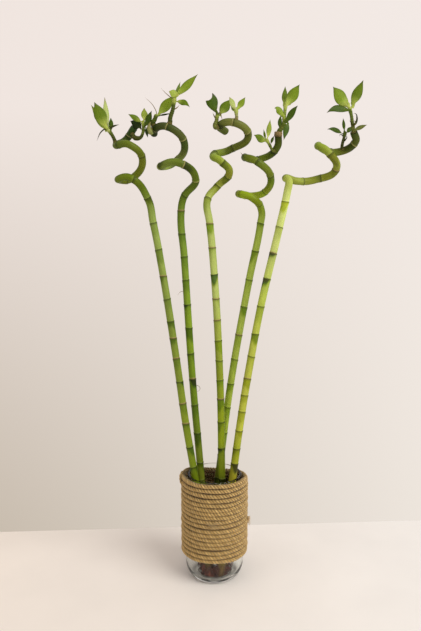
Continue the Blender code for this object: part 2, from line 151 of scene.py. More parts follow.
TUFT_STUB = ((-4, 0, -3), (-0.5, 0, -1.5), (1.2, 0, 1.5), (1.5, 0, 4.5))
TUFT_FIBRES = 60
TUFT_COLOURS = ((206, 172, 116), (226, 198, 148))
SPLICE_HEIGHT = 82
SPLICE_FIBRES = 46
SPLICE_COLOUR = (206, 178, 124)

# Canes. Route, radii and nodes are the part's own, but for one route point of cane 1 and of cane 2.
# Rings are pale from the length pale_from on, and tan at the scarred nodes. Shades say how dark the
# skin is under a node. Both count the nodes from 0. A row of skin is a length along the cane, the
# colour low in an internode there, and the colour just under its upper node.
Cane = collections.namedtuple("Cane", "radii pale_from scarred nodes shades route skin")
CANES = {
    1: Cane(
        (4.4, 4.2), 630, (6, 7, 9, 10, 13),
        (35, 61, 86, 111, 135.6, 161, 190.4, 215.6, 242.4, 270.4, 295.4, 316, 342.7, 370.1, 402,
         433.7, 464, 493, 535, 577.5, 612, 645),
        {5: 0.9, 6: 0.9, 7: 0.3, 8: 1.5, 9: 0.4, 11: 1, 12: 0.3, 13: 1.1, 14: 0.7, 15: 0.4, 16: 1.6,
         17: 0.5},
        ((-6, -15, 9), (-24, -9, 130), (-35, -6, 197), (-46, -1, 276), (-66.5, 7, 407),
         (-72.5, 9, 438), (-78, 10, 464), (-96, -4, 488), (-112.5, 9, 487), (-99, 22, 488.5),
         (-84, 11, 509), (-97, -4, 525), (-114, 9, 526), (-105, 19, 532), (-93, 13, 546)),
        ((100, 107, 126, 9, 51, 74, 1), (200, 124, 141, 37, 73, 102, 7),
         (310, 122, 140, 54, 78, 102, 20), (430, 146, 166, 81, 106, 128, 44),
         (480, 93, 114, 11, 85, 100, 8), (560, 109, 120, 24, 124, 131, 33),
         (610, 101, 116, 31, 62, 85, 11), (655, 51, 79, 29, 50, 66, 20)),
    ),
    2: Cane(
        (4.4, 4.2), 470, (7, 14),
        (38, 64, 88, 112, 134.9, 172.1, 207.3, 240.1, 271.6, 303.3, 331.8, 361, 389.5, 416.6, 443.9,
         463.7, 490.9, 521, 552, 592, 624.3, 647.6, 666),
        {4: 1.2, 5: 1.2, 6: 0.3, 7: 1.6, 9: 0.9, 10: 1.6, 11: 0.5, 12: 0.4, 13: 0.7, 14: 0.2,
         15: 1.4, 16: 0.4, 17: 1},
        ((-8, -1, 9), (-17, 5, 130), (-27, 11, 248), (-36.5, 17, 397), (-40, 19, 450),
         (-37, 18.5, 466), (-22, 0, 487), (-41, -19, 504), (-62.5, -1, 501), (-48, 17, 506.5),
         (-34.5, 2, 524), (-49, -14, 542), (-68, -1, 543), (-70, 8, 538)),
        ((110, 119, 129, 37, 92, 108, 9), (200, 98, 123, 21, 60, 86, 4),
         (300, 125, 152, 33, 69, 96, 6), (410, 114, 139, 47, 86, 114, 25),
         (455, 97, 119, 30, 89, 112, 16), (520, 86, 103, 18, 49, 62, 4),
         (570, 154, 176, 79, 63, 78, 17), (610, 94, 102, 46, 68, 87, 29),
         (675, 42, 55, 10, 23, 38, 8)),
    ),
    3: Cane(
        (4.4, 4.3), 580, (6, 10, 11, 13, 14),
        (32, 60, 88, 115.3, 153.9, 187.4, 216.2, 239.1, 263.5, 287.6, 312.9, 338.7, 367.9, 399.5,
         427.5, 457.3, 478.7, 496.1, 519.1, 545, 571.6, 607.3, 629.6, 650),
        {4: 1.5, 5: 0.7, 7: 0.8, 8: 0.2, 10: 0.2, 11: 0.3, 12: 1.5, 13: 0.5, 14: 1, 15: 0.4,
         16: 0.9, 23: 0.9},
        ((11, -1, 9), (9, 1, 130), (6.5, 5, 248), (-3, 10, 408), (-6, 11, 437), (-8.5, 12, 464),
         (3, 20, 479.5), (17, 11, 495), (7, 1, 507), (-2, 12, 514), (17, 27, 522),
         (38.5, 11, 535.5), (23, -4, 549), (5.5, 9, 547), (13, 19, 542)),
        ((110, 132, 149, 37, 5, 14, 2), (170, 138, 156, 15, 72, 95, 2),
         (250, 129, 142, 38, 109, 136, 9), (300, 153, 166, 68, 120, 138, 22),
         (340, 176, 192, 103, 120, 137, 28), (440, 172, 187, 102, 122, 151, 40),
         (470, 152, 165, 63, 114, 123, 27), (500, 134, 137, 40, 90, 105, 16),
         (535, 149, 172, 59, 86, 101, 14), (570, 105, 115, 38, 81, 91, 19),
         (632, 114, 120, 54, 39, 50, 8), (650, 94, 106, 46, 44, 52, 18)),
    ),
    4: Cane(
        (4.4, 4.2), 900, (9,),
        (28, 56, 84, 112, 141, 170.6, 203.2, 232.9, 264, 295.2, 329.8, 363.8, 398.9, 432.2, 460,
         488.3, 513, 540, 566.7, 592.7, 617, 641.3, 666.5),
        {7: 0.9, 8: 0.4, 9: 0.4, 10: 1.3, 11: 0.2, 12: 1, 13: 1.2, 14: 0.2, 15: 0.4, 22: 1.3},
        ((-9, 13, 9), (6, 13.5, 130), (20, 18, 240), (42, 22, 369), (55, 24, 436), (56, 24, 451),
         (43.5, 9, 466), (28.5, 22, 471), (46, 39, 469), (60, 35, 473), (66.5, 22, 489),
         (49, 6, 507), (35.5, 21, 513), (53, 38, 512), (73.5, 24, 525), (74.5, 22, 539)),
        ((110, 104, 114, 30, 48, 60, 14), (180, 160, 181, 56, 122, 151, 22),
         (300, 161, 180, 75, 121, 147, 31), (430, 152, 172, 68, 97, 120, 16),
         (460, 111, 127, 12, 142, 170, 23), (530, 149, 162, 37, 178, 212, 52),
         (560, 112, 126, 36, 90, 115, 8), (620, 103, 116, 27, 77, 93, 31),
         (650, 107, 125, 31, 41, 66, 20), (686, 53, 61, 11, 40, 55, 15)),
    ),
    5: Cane(
        (4.5, 4.4), 600, (9, 14, 20),
        (32, 60, 88, 114, 140.4, 159.4, 181.7, 204.9, 225, 245.4, 273.1, 300.4, 334.2, 367.6, 398.3,
         429.7, 460.1, 492, 518.5, 541.2, 563, 587.5, 611, 635.7, 666.9),
        {4: 1.2, 5: 0.5, 6: 1, 7: 0.5, 8: 0.5, 10: 0.3, 11: 1.2, 12: 0.3, 13: 1.4, 14: 1.6, 15: 0.3,
         16: 1.6, 17: 0.4, 18: 1.1, 19: 1.3, 20: 0.8},
        ((7, -17, 9), (22, -12, 130), (33, -7, 212), (44, -1, 279), (55, 3, 339), (76, 8, 432),
         (85, 10, 474), (86.5, 10.5, 485), (84, 17, 489), (97, 25, 486), (121, 32, 488),
         (143, 22, 499), (130, 9, 519), (121, 19, 526), (144, 35, 520), (165, 22, 531),
         (161, 14, 541)),
        ((120, 163, 155, 43, 47, 59, 1), (155, 137, 149, 25, 79, 82, 1),
         (180, 168, 173, 56, 135, 141, 10), (260, 171, 177, 69, 132, 145, 9),
         (350, 178, 194, 80, 107, 133, 5), (400, 198, 211, 118, 90, 110, 12),
         (460, 213, 227, 132, 195, 210, 81), (500, 146, 157, 57, 169, 183, 81),
         (545, 130, 138, 35, 105, 115, 26), (585, 145, 156, 59, 108, 113, 24),
         (615, 143, 172, 43, 130, 156, 52), (650, 100, 106, 35, 61, 73, 15),
         (683, 63, 76, 20, 43, 61, 5)),
    ),
}
CANE_SIDES = 22
CANE_STEP = 1.7
RING_STEPS = (-3, -2.2, -1.5, -1, -0.6, -0.3, 0, 0.3, 0.6, 1, 1.5, 2.2, 3)
RING_LEAN = 0.45
RING_SWELLS = ((0.34, 0, 0.5), (0.2, -1.4, 1.5), (-0.12, 1.1, 0.5))
RING_COLOURS = ((52, 52, 14), (176, 170, 104))
SCAR_COLOUR = (158, 134, 86)
FOOT_COLOUR = (92, 56, 36)
FOOT_DROP = 3.5
CUT_BACK = 0.4
DRIED_END = (4, 4.7, (-2.4, 3.6), ((100, 84, 50), (154, 130, 88)))

# Roots: how many, their colours, and how far out they may stand on the jar's floor.
ROOT_COUNT = 84
ROOT_COLOURS = ((124, 58, 40), (58, 32, 22))
ROOT_REACH = 21

# Shoots: radii, colours at the foot and the top with how stout the foot is, route, and leaves. A
# leaf is: where it leaves the shoot (0 foot, 1 end), compass side (0 right, 90 back, 180 left, 270
# front), tip, width, how far its middle arches up, colour name, and its turn about its midrib.
SHOOTS = {
    "1_left": (
        (2.1, 1.7), ((62, 70, 18), (96, 108, 34), 1),
        ((-115, 7, 530), (-118, 5, 537), (-123, 3, 544)),
        (1, 255, (-136, -2, 572), 13, 1, "mid", 8),
        (0.85, 165, (-142, 12, 571), 8, 0, "light", -14),
        (0.9, 80, (-127, 16, 580), 6.5, 0, "pale", 18),
        (0.7, 330, (-118.3, 2, 555.5), 5, 1, "dark", 0),
    ),
    "1_end": (
        (1.9, 1.5), ((82, 84, 34), (136, 158, 62), 1.1),
        ((-93, 10, 535), (-88, 8, 533), (-83, 6, 538), (-82, 4, 552)),
        (0.95, 220, (-98, 0, 559), 6, 1, "mid", 10),
        (0.75, 170, (-97, 10, 553), 10.5, 1, "deep", -12),
        (1, 320, (-80, 0, 566), 7, 0, "bright", 5),
    ),
    "2_top": (
        (2.4, 1.8), ((66, 74, 18), (78, 94, 22), 1.1),
        ((-51, -14, 546), (-50, -14, 552), (-47, -13, 562), (-45, -11, 575)),
        (1, 300, (-19, -17, 599), 8.4, 0, "light", -10),
        (0.93, 210, (-51, -16, 581), 8.4, 1, "bright", 12),
        (0.97, 70, (-39, -1, 594), 4, 0, "mid", 20),
        (0.85, 350, (-28, -18, 564), 6.5, 5, "mid", -16),
    ),
    "2_end": (
        (2.2, 1.8), ((70, 82, 16), (84, 102, 24), 1.3),
        ((-70, -2, 548), (-68, -3, 553), (-66, -3, 558)),
        (1, 60, (-45, 4, 580), 10.4, 1, "light", 10),
        (0.6, 330, (-71, -6, 562), 7, 0, "dark", -12),
        (0.9, 330, (-49, -7, 559), 1.8, 0, "deep", 0),
        (0.35, 190, (-75.6, -8, 532.5), 3.2, 0, "deep", 10),
    ),
    "3_end": (
        (2, 1.7), ((118, 122, 60), (112, 126, 44), 1.5),
        ((2, 5, 546), (2, 4, 553), (3, 3, 560)),
        (1, 220, (-6, -1, 581), 12.6, 0, "dark", 12),
        (0.9, 30, (18, 9, 577), 10.5, 1, "mid", -14),
    ),
    "3_top": (
        (1.9, 1.7), ((140, 134, 84), (158, 170, 104), 1),
        ((24, -5, 553), (24, -5, 560), (24, -5, 563)),
        (1, 230, (16, -11, 576), 6, 1, "pale", 14),
        (1, 300, (34, -4, 577), 6.6, 0, "light", -12),
        (0.8, 140, (18, 1, 568), 2.5, 0, "mid", 0),
    ),
    "4_low": (
        (1.6, 1.4), ((92, 100, 34), (136, 150, 66), 1),
        ((68, 20, 520), (64, 18, 527), (60, 15, 533)),
        (0.85, 215, (45, 6, 537), 8, 1, "mid", 12),
        (1, 330, (64, 14, 555), 5.5, 0, "bright", -10),
        (0.95, 110, (57, 21, 545), 2.5, 0, "mid", 0),
        (0.6, 330, (68, 9, 536), 3, 1, "dark", 8),
    ),
    "4_top": (
        (2, 1.7), ((84, 88, 30), (150, 170, 72), 1.45),
        ((78, 20, 540), (80, 20, 550), (81, 20, 561), (82, 20, 571)),
        (1, 110, (82, 26, 594), 6.5, 0, "mid", 10),
        (0.97, 290, (97, 14, 594), 12, 1, "fresh", -12),
        (0.62, 245, (69, 16, 568), 7.4, 6, "light", 15),
        (0.42, 300, (95, 11, 570), 7, 3, "dark", -14),
        (0.2, 200, (76, 14, 560), 4.5, 0, "dark", 8),
        (0.45, 285, (79, 5, 531), 6.5, 2, "dark", -10),
    ),
    "5_low": (
        (1.9, 1.5), ((66, 72, 32), (84, 92, 42), 1),
        ((151, 29, 525), (151, 26, 531), (152, 22, 538), (152, 20, 542)),
        (0.9, 215, (130, 12, 544), 5.2, 4, "dark", 10),
        (1, 100, (150, 23, 558), 3.5, 0, "dark", 0),
        (0.95, 325, (161, 22, 548), 5, 1, "dark", -10),
    ),
    "5_top": (
        (2, 1.7), ((96, 98, 44), (104, 124, 46), 1.1),
        ((160, 12, 545), (158, 9.5, 551), (156.5, 9, 559), (154, 8, 567)),
        (1, 220, (133, 0, 589), 14, 1, "fresh", 10),
        (1, 20, (169, 10, 598), 10.5, 0, "mid", -10),
        (0.88, 250, (126, -4, 560), 8, 8, "dark", 14),
        (0.25, 330, (174, 5, 548), 4.5, 1, "olive", -10),
    ),
}
SHOOT_SIDES = 14
SHOOT_STEP = 0.35
SHOOT_SCAR = (112, 96, 52)

# Leaf colours: foot, blade and tip.
LEAF_COLOURS = {
    "deep": ((52, 66, 16), (34, 50, 10), (30, 36, 12)),
    "olive": ((112, 118, 56), (104, 110, 52), (92, 84, 40)),
    "dark": ((86, 104, 30), (66, 90, 18), (58, 66, 22)),
    "mid": ((178, 192, 88), (98, 120, 24), (84, 92, 34)),
    "fresh": ((190, 204, 104), (120, 144, 36), (76, 98, 28)),
    "light": ((166, 184, 76), (124, 146, 38), (104, 108, 44)),
    "bright": ((190, 200, 100), (152, 170, 68), (130, 138, 52)),
    "pale": ((196, 204, 130), (176, 190, 112), (142, 128, 74)),
}
LEAF_DRY_TIP = (104, 80, 44)
BLADE_ROWS = 36
BLADE_COLS = 13
BLADE_THICK = 0.28
BLADE_WIDEN = 1.08
SHEATH_CLEAR = 0.22

# Leaves that start off their shoot, the torn one (how far up its blade each edge share ends), and
# those with a broad foot.
LEAF_STARTS = {
    "2_end_2": (-80.6, 3.4, 545), "2_end_4": (-78.4, -7.6, 544), "2_top_2": (-41, -13.5, 576),
    "4_top_6": (84.5, 13, 552), "5_top_4": (158.4, 7, 541),
}
TORN_LEAVES = {"3_end_1": ((-1, -0.7, -0.3, 0.1, 0.5, 1), (1, 0.97, 0.85, 0.77, 0.75, 0.78))}
TORN_SPAN = 0.8
BROAD_LEAVES = (
    "2_top_2", "3_top_1", "3_top_2", "4_top_1", "4_top_2", "4_top_3", "4_top_4", "5_top_1",
    "5_top_2",
)

# Dried wisps, sheaths, buds and rootlets: thickest radius, two colours, and the route.
DRY = ((112, 98, 58), (138, 120, 80))
DARK = ((58, 64, 20), (52, 54, 22))
PALE = ((150, 160, 92), (120, 112, 60))
BROWN = ((98, 92, 38), (84, 86, 32))
OLIVE = ((82, 82, 32), (72, 86, 30))
WISPS = {
    "wisp_1_left": (
        (0.85, DARK, (-122, 3.5, 542.5), (-125, 4, 543.3), (-130.2, 4, 540), (-133.2, 4, 535),
         (-135.1, 4, 530)),
        (1.6, DARK, (-120.5, 4, 540), (-118.5, 3, 544.8), (-114.5, 3, 546.7), (-109.3, 3, 548.1)),
    ),
    "wisp_1_end": (
        (3, OLIVE, (-95, 9, 535.4), (-91, 7, 533.6), (-86.5, 6, 533.6), (-83, 5.5, 537),
         (-82, 5, 542)),
    ),
    "wisp_2_top": (
        (0.5, DRY, (-45.5, -11, 573), (-51.1, -11, 577), (-54.4, -11, 579.7), (-59.9, -11, 585.5)),
        (0.7, DRY, (-46.5, -12.5, 562), (-42.5, -13, 564), (-39.5, -13, 567)),
    ),
    "wisp_2_end": (
        (0.45, DRY, (-66, -3.5, 553), (-65.8, -4, 559.8), (-68.6, -4, 566.3), (-72.4, -4, 571.2),
         (-79.1, -4, 577.1)),
        (3.3, PALE, (-71, -4, 537), (-73.6, -6.5, 540), (-74.2, -7.5, 544), (-72.6, -6.5, 550)),
        (1.5, BROWN, (-69, -3, 542), (-72.5, -6, 541.6), (-75.3, -7.4, 542.4), (-79, -7.6, 543.8)),
    ),
    "wisp_3_end": (
        (0.7, DRY, (3, 3, 559), (5.4, 3.4, 561), (7.2, 3.6, 557.6), (8.5, 4, 552.8)),
        (0.9, BROWN, (2.2, 3.5, 553), (-0.5, 2.5, 557), (-2.4, 2, 561)),
    ),
    "wisp_4_low": (
        (0.55, DRY, (34.5, 19.5, 513), (31.6, 18, 516.7), (30, 18, 518.7)),
    ),
    "wisp_5_top": (
        (1.35, DARK, (159.5, 10, 547), (162.4, 8, 552.1), (162.8, 8, 557.1), (161.6, 8, 560.4),
         (159, 8, 561.3)),
        (0.9, DARK, (158.6, 9, 547.5), (155.7, 6, 550.8), (153.9, 6, 553.2)),
        (0.9, BROWN, (159.4, 8, 547), (160.9, 6, 550.2), (159.1, 6, 553.4)),
    ),
    "wisp_5_low": (
        (0.8, DARK, (151.8, 23, 535), (149.4, 24, 538.9), (147, 24, 539.4), (146.3, 24, 537.6)),
        (0.8, DARK, (151.6, 24, 531), (153.9, 22, 534.2), (154.8, 22, 536.7), (152.9, 22, 538.5)),
    ),
    "rootlet_2_high": (
        (0.35, DRY, (-33.6, 14, 350), (-39.2, 13, 355.3), (-42.9, 13, 353.2), (-44.9, 13, 350.5)),
    ),
    "rootlet_2_low": (
        (0.3, DRY, (-25, 8.5, 240.2), (-19.6, 6, 240.2), (-17.8, 6, 237.1), (-19.6, 6, 233.9),
         (-25, 8.5, 233.3)),
    ),
}


def linear(colour):
    """An sRGB byte colour as linear light."""
    share = np.asarray(colour, float) / 255
    return np.where(share <= 0.04045, share / 12.92, ((share + 0.055) / 1.055) ** 2.4)


def ease(low, high, value):
    share = np.clip((np.asarray(value, float) - low) / (high - low), 0, 1)
    return share * share * (3 - 2 * share)


def bell(distance, width):
    """One at no distance, and close to nothing from two widths on."""
    return np.exp(-((distance / width) ** 2))


def mix(first, second, share):
    return first + (second - first) * np.asarray(share)[..., None]


def unit(vectors):
    return vectors / np.linalg.norm(vectors, axis=-1, keepdims=True)


def square_to(ahead, vectors):
    """Unit vectors turned square to the headings."""
    return unit(vectors - ahead * (vectors * ahead).sum(-1, keepdims=True))


def compass(angle):
    return np.array([math.cos(angle), math.sin(angle), 0])


def around(sides):
    return np.linspace(0, TURN, sides, endpoint=False)


def lengths_along(points):
    steps = np.linalg.norm(np.diff(points, axis=0), axis=1)
    return np.concatenate([[0], np.cumsum(steps)])


def bezier(a, b, c, d, t):
    return a * (1 - t) ** 3 + b * 3 * (1 - t) ** 2 * t + c * 3 * (1 - t) * t**2 + d * t**3


class Curve:
    """A smooth curve through points. Points a quarter turn apart give nearly a circle."""

    def __init__(self, points):
        knots = np.array(points, float)
        spans = np.diff(knots, axis=0)
        back = np.vstack([spans[:1], spans])
        ahead = np.vstack([spans, spans[-1:]])
        heading = unit(unit(back) + unit(ahead)) * CURVE_HANDLE
        before = knots - heading * np.linalg.norm(back, axis=1)[:, None]
        after = knots + heading * np.linalg.norm(ahead, axis=1)[:, None]
        t = np.linspace(0, 1, CURVE_STEPS + 1)[1:, None]
        pieces = [bezier(*ends, t) for ends in zip(knots, after, before[1:], knots[1:])]
        self.points = np.vstack([knots[:1], *pieces])
        self.marks = lengths_along(self.points)
        self.length = self.marks[-1]

    def at(self, lengths):
        return np.stack([np.interp(lengths, self.marks, self.points[:, k]) for k in range(3)], -1)

    def even(self, step):
        return self.at(np.linspace(0, self.length, max(3, round(self.length / step) + 1)))


def place_object(name, data, place=(0, 0, 0), turn=(0, 0, 0)):
    made = bpy.data.objects.new(name, data)
    made.location = place
    made.rotation_euler = turn
    bpy.context.scene.collection.objects.link(made)
    return made


class Shape:
    """The points, faces, colours and fibre directions of one piece, gathered in millimetres."""

    def __init__(self):
        self.count = 0
        self.points, self.tints, self.flows, self.faces = [], [], [], []

    def add(self, points, tints, flows):
        """Adds points and returns their numbers, in the same rows and columns."""
        for kept, values in ((self.points, points), (self.tints, tints), (self.flows, flows)):
            kept.append(np.broadcast_to(values, points.shape).reshape(-1, 3))
        shape = points.shape[:-1]
        numbers = np.arange(self.count, self.count + math.prod(shape)).reshape(shape)
        self.count += numbers.size
        return numbers

    def grid(self, points, tints, flows, closed):
        """Rows of points joined by quads. Closed rows join their ends."""
        numbers = self.add(points, tints, flows)
        here = numbers if closed else numbers[:, :-1]
        ahead = np.roll(numbers, -1, axis=1) if closed else numbers[:, 1:]
        quads = np.stack([here[:-1], ahead[:-1], ahead[1:], here[1:]], -1)
        self.faces += quads.reshape(-1, 4).tolist()
        return numbers

    def fan(self, ring, centre, tint, flow):
        """Triangles from a ring of points to its centre."""
        heart = int(self.add(centre[None], tint, flow)[0])
        self.faces += [[a, b, heart] for a, b in zip(ring.tolist(), np.roll(ring, -1).tolist())]

    def rings(self, route, points, tints, flows):
        """Closed rings of points along a route, capped at both ends."""
        rows = self.grid(points, tints, flows, True)
        for ring, end in ((rows[0][::-1], 0), (rows[-1], -1)):
            self.fan(ring, route[end], tints[end].mean(axis=0), flows[end].mean(axis=0))

    def tube(self, route, radii, sides, tints, flow_start=0, side=FRONT):
        """A capped round tube that turns as little as it can along its route.

        Radii may vary round it, and tints are one in all, one per row or one per point.
        """
        ahead = unit(np.gradient(route, axis=0))
        across = [square_to(ahead[0], side)]
        for heading in ahead[1:]:
            across.append(square_to(heading, across[-1]))
        beside = np.cross(ahead, across)
        angles = around(sides)
        if np.ndim(radii) == 1:
            radii = radii[:, None]
        radii = np.broadcast_to(radii, (len(route), sides))
        points = route[:, None] + swung(angles, np.array(across), beside) * radii[..., None]
        marks = lengths_along(route)[:, None] + flow_start
        if tints.ndim == 2:
            tints = tints[:, None]
        tints = np.broadcast_to(tints, points.shape)
        self.rings(route, points, tints, ring_flows(angles, radii, marks))

    def piece(self, name, material, slot, *replaced):
        """The mesh object, riding on the part and standing for the replaced nodes."""
        mesh = bpy.data.meshes.new(name)
        mesh.from_pydata((np.vstack(self.points) * MM).tolist(), [], self.faces)
        mesh.shade_smooth()
        tints = np.clip(np.vstack(self.tints), 0, 1)
        tints = np.hstack([tints, np.ones((self.count, 1))])
        for label, kind, field, values in (
            ("tint", "FLOAT_COLOR", "color", tints),
            ("flow", "FLOAT_VECTOR", "vector", np.vstack(self.flows)),
        ):
            layer = mesh.attributes.new(label, kind, "POINT")
            layer.data.foreach_set(field, values.astype(np.float32).ravel())
        mesh.materials.append(bpy.data.materials[material])
        obj = place_object(name, mesh)
        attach(obj, "root")
        if replaced:
            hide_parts(*replaced)
        return obj


def swung(angles, across, beside):
    """Directions at angles from across towards beside, for each point of a route."""
    return np.cos(angles)[:, None] * across[:, None] + np.sin(angles)[:, None] * beside[:, None]


def ring_flows(angles, radii, marks, shift=0):
    """Fibre directions of a tube's points: two across it, and the length along it."""
    flows = (np.cos(angles) * radii + shift, np.sin(angles) * radii, marks)
    return np.stack(np.broadcast_arrays(*flows), -1)


class Nodes:
    """The nodes of a material or a world, made and linked one call at a time."""

    def __init__(self, name, kind="materials", shader="Principled BSDF"):
        self.owner = getattr(bpy.data, kind).new(name)
        self.owner.use_nodes = True
        self.tree = self.owner.node_tree
        self.shader = self.tree.nodes[shader]

    def feed(self, socket, value):
        if isinstance(value, bpy.types.NodeSocket):
            self.tree.links.new(value, socket)
        else:
            socket.default_value = value

    def set(self, **values):
        for key, value in values.items():
            self.feed(self.shader.inputs[key.replace("_", " ")], value)

    def node(self, kind, inputs=(), **settings):
        made = self.tree.nodes.new("ShaderNode" + kind)
        for key, value in settings.items():
            setattr(made, key, value)
        for key, value in dict(inputs).items():
            self.feed(made.inputs[key], value)
        return made.outputs

    def painted(self):
        """The colour and the fibre direction kept in a mesh."""
        kept = (("tint", "Color"), ("flow", "Vector"))
        return [self.node("Attribute", attribute_name=name)[output] for name, output in kept]

    def place(self):
        return self.node("TexCoord")["Object"]

    def noise(self, vector, scale, detail, roughness):
        """Noise from 0 to 1 over a vector stretched by a scale on each axis."""
        inputs = {0: vector, 1: scale}
        stretched = self.node("VectorMath", inputs, operation="MULTIPLY")[0]
        inputs = {"Vector": stretched, "Scale": 1, "Detail": detail, "Roughness": roughness}
        return self.node("TexNoise", inputs)["Fac"]

    def span(self, value, low, high, start=0, end=1):
        """The value's range from low to high spread over start to end."""
        inputs = {"Value": value, "From Min": low, "From Max": high, "To Min": start, "To Max": end}
        return self.node("MapRange", inputs)["Result"]

    def math(self, operation, first, second):
        return self.node("Math", {0: first, 1: second}, operation=operation)[0]

    def scaled(self, colour, share):
        inputs = {0: colour, "Scale": share}
        return self.node("VectorMath", inputs, operation="SCALE")[0]

    def blend(self, share, first, second):
        """A mix of two colours, which are sockets 6, 7 and output 2 of the node."""
        return self.node("Mix", {0: share, 6: first, 7: second}, data_type="RGBA")[2]

    def bump(self, height, strength, distance):
        inputs = {"Strength": strength, "Distance": distance, "Height": height}
        self.set(Normal=self.node("Bump", inputs)["Normal"])


def grown_material(name):
    """Living skin: painted colour times streaks along the growth and fine flecks."""
    streak, fleck, contrast, flecked, rough, gloss, glow = SKINS[name]
    nodes = Nodes(name)
    tint, flow = nodes.painted()
    streaks = nodes.noise(flow, streak, 4, 0.6)
    flecks = nodes.noise(flow, fleck, 3, 0.7)
    shade = nodes.span(streaks, 0.25, 0.75, 1 - contrast, 1 + contrast)
    speck = nodes.span(flecks, 0.3, 0.7, 1 - flecked, 1 + flecked)
    nodes.bump(nodes.math("ADD", streaks, nodes.math("MULTIPLY", flecks, 0.35)), 0.35, 0.0002)
    nodes.set(
        Base_Color=nodes.scaled(tint, nodes.math("MULTIPLY", shade, speck)),
        Roughness=nodes.span(flecks, 0.2, 0.8, rough - 0.08, rough + 0.12),
        IOR=1.45,
        Specular_IOR_Level=gloss,
        Subsurface_Weight=glow,
        Subsurface_Radius=(0.6, 1, 0.2),
        Subsurface_Scale=0.001,
    )


def jute_material():
    nodes = Nodes("jute_fibre")
    tint, flow = nodes.painted()
    fibres = nodes.noise(flow, (5, 5, 0.35), 5, 0.7)
    blotches = nodes.noise(flow, (0.25, 0.25, 0.09), 2, 0.5)
    shade = nodes.span(fibres, 0.28, 0.72, 0.62, 1.3)
    blotch = nodes.span(blotches, 0.3, 0.7, 0.86, 1.12)
    nodes.bump(fibres, 0.9, 0.0004)
    nodes.set(
        Base_Color=nodes.scaled(tint, nodes.math("MULTIPLY", shade, blotch)),
        Roughness=nodes.span(fibres, 0.3, 0.7, 0.95, 0.72),
        IOR=1.4,
        Sheen_Weight=0.25,
        Sheen_Roughness=0.5,
    )


def clear_material(name):
    """Glass or water, with a trace of colour and faint ripples."""
    scale, bump, index, *colours = CLEARS[name]
    nodes = Nodes(name)
    ripple = nodes.noise(nodes.place(), scale, 1, 0.4)
    nodes.bump(ripple, *bump)
    colour = nodes.blend(nodes.span(ripple, 0.3, 0.7), *colours)
    nodes.set(Base_Color=colour, IOR=index, Transmission_Weight=1, Roughness=0)


def table_material():
    """Pale laminate: faint warm mottling, painted shade darker and warmer to the left, and a soft
    satin finish.
    """
    nodes = Nodes("pale_table")
    place = nodes.place()
    mottle = nodes.noise(place, (9, 9, 9), 3, 0.5)
    # Painted shade: the laminate is darker and warmer towards the left, away from the key light.
    across = nodes.span(nodes.node("SeparateXYZ", {0: place})["X"], -0.3, 0.3)
    paint = nodes.blend(across, (0.895, 0.825, 0.745, 1), (0.93, 0.915, 0.885, 1))
    nodes.set(
        Base_Color=nodes.scaled(paint, nodes.span(mottle, 0.3, 0.7, 0.97, 1.02)),
        Roughness=nodes.span(mottle, 0.3, 0.7, 0.6, 0.7),
        Specular_IOR_Level=0.2,
    )
    return nodes.owner


def build_camera():
    data = bpy.data.cameras.new("camera")
    data.lens = CAMERA_LENS
    data.sensor_width = 36
    data.clip_start = 0.01
    turn = (math.radians(CAMERA_PITCH), 0, 0)
    bpy.context.scene.camera = place_object("camera", data, CAMERA_PLACE, turn)


def build_table():
    """A pale slab under the jar, whose back edge runs just behind it at a slight slant."""
    half, sway = TABLE_HALF, TABLE_SLANT * TABLE_HALF
    rim = ((-half, -TABLE_DEPTH), (half, -TABLE_DEPTH),
           (half, TABLE_BACK + sway), (-half, TABLE_BACK - sway))
    corners = [(x, y, z) for z in (0, -TABLE_THICK) for x, y in rim]
    sides = [(i, (i + 1) % 4, (i + 1) % 4 + 4, i + 4)[::-1] for i in range(4)]
    mesh = bpy.data.meshes.new("table")
    mesh.from_pydata(corners, [], [(0, 1, 2, 3), (7, 6, 5, 4)] + sides)
    mesh.materials.append(table_material())
    table = place_object("table", mesh)
    bevel = table.modifiers.new("edge", "BEVEL")
    bevel.width = 0.002
    bevel.segments = 3


def build_lights():
    for name, (place, size, power, colour) in LIGHTS.items():
        data = bpy.data.lights.new(name, "AREA")
        data.shape = "DISK"
        data.size, data.energy, data.color = size, power, colour
        x, y, z = np.subtract(LIGHT_AIM, place)
        turn = (math.atan2(math.hypot(x, y), -z), 0, math.atan2(y, x) - math.pi / 2)
        place_object(name, data, place, turn)


def build_room():
    nodes = Nodes("room", "worlds", "Background")
    bpy.context.scene.world = nodes.owner
    view = nodes.node("TexCoord")["Generated"]
    parts = nodes.node("SeparateXYZ", {0: view})
    wide = nodes.span(parts["X"], *ROOM_WIDE)
    # The low left is darker: a painted shadow on the wall.
    low, high = (
        nodes.blend(wide, *((*linear(colour), 1) for colour in row)) for row in ROOM_SHADED_COLOURS
    )
    rays = nodes.node("LightPath")
    seen = nodes.math("MAXIMUM", rays["Is Camera Ray"], rays["Is Transmission Ray"])
    nodes.set(
        Color=nodes.blend(nodes.span(parts["Z"], *ROOM_HIGH), low, high),
        Strength=nodes.span(seen, 0, 1, ROOM_LIGHT, 1),
    )


def corner(radius, base, height, floor, steps):
    """A rounded bottom corner, as (r, z) from the floor's edge out and up to the wall."""
    turn = np.linspace(-math.pi / 2, 0, steps)
    heights = floor + (height - floor) * (1 + np.sin(turn))
    return np.stack([base + (radius - base) * np.cos(turn), heights], -1)


def revolve(profile, colour):
    """A solid of revolution. The profile goes up the outside and comes down the inside."""
    shape = Shape()
    angles = around(JAR_SIDES)
    ring = np.stack([np.cos(angles), np.sin(angles), np.zeros(JAR_SIDES)], -1)
    inner = profile[1:-1]
    points = ring * inner[:, None, :1] + UP * inner[:, None, 1:]
    rows = shape.grid(points, linear(colour), points, True)
    for row, end in ((rows[0][::-1], profile[0]), (rows[-1], profile[-1])):
        shape.fan(row, UP * end[1], linear(colour), UP * end[1])
    return shape


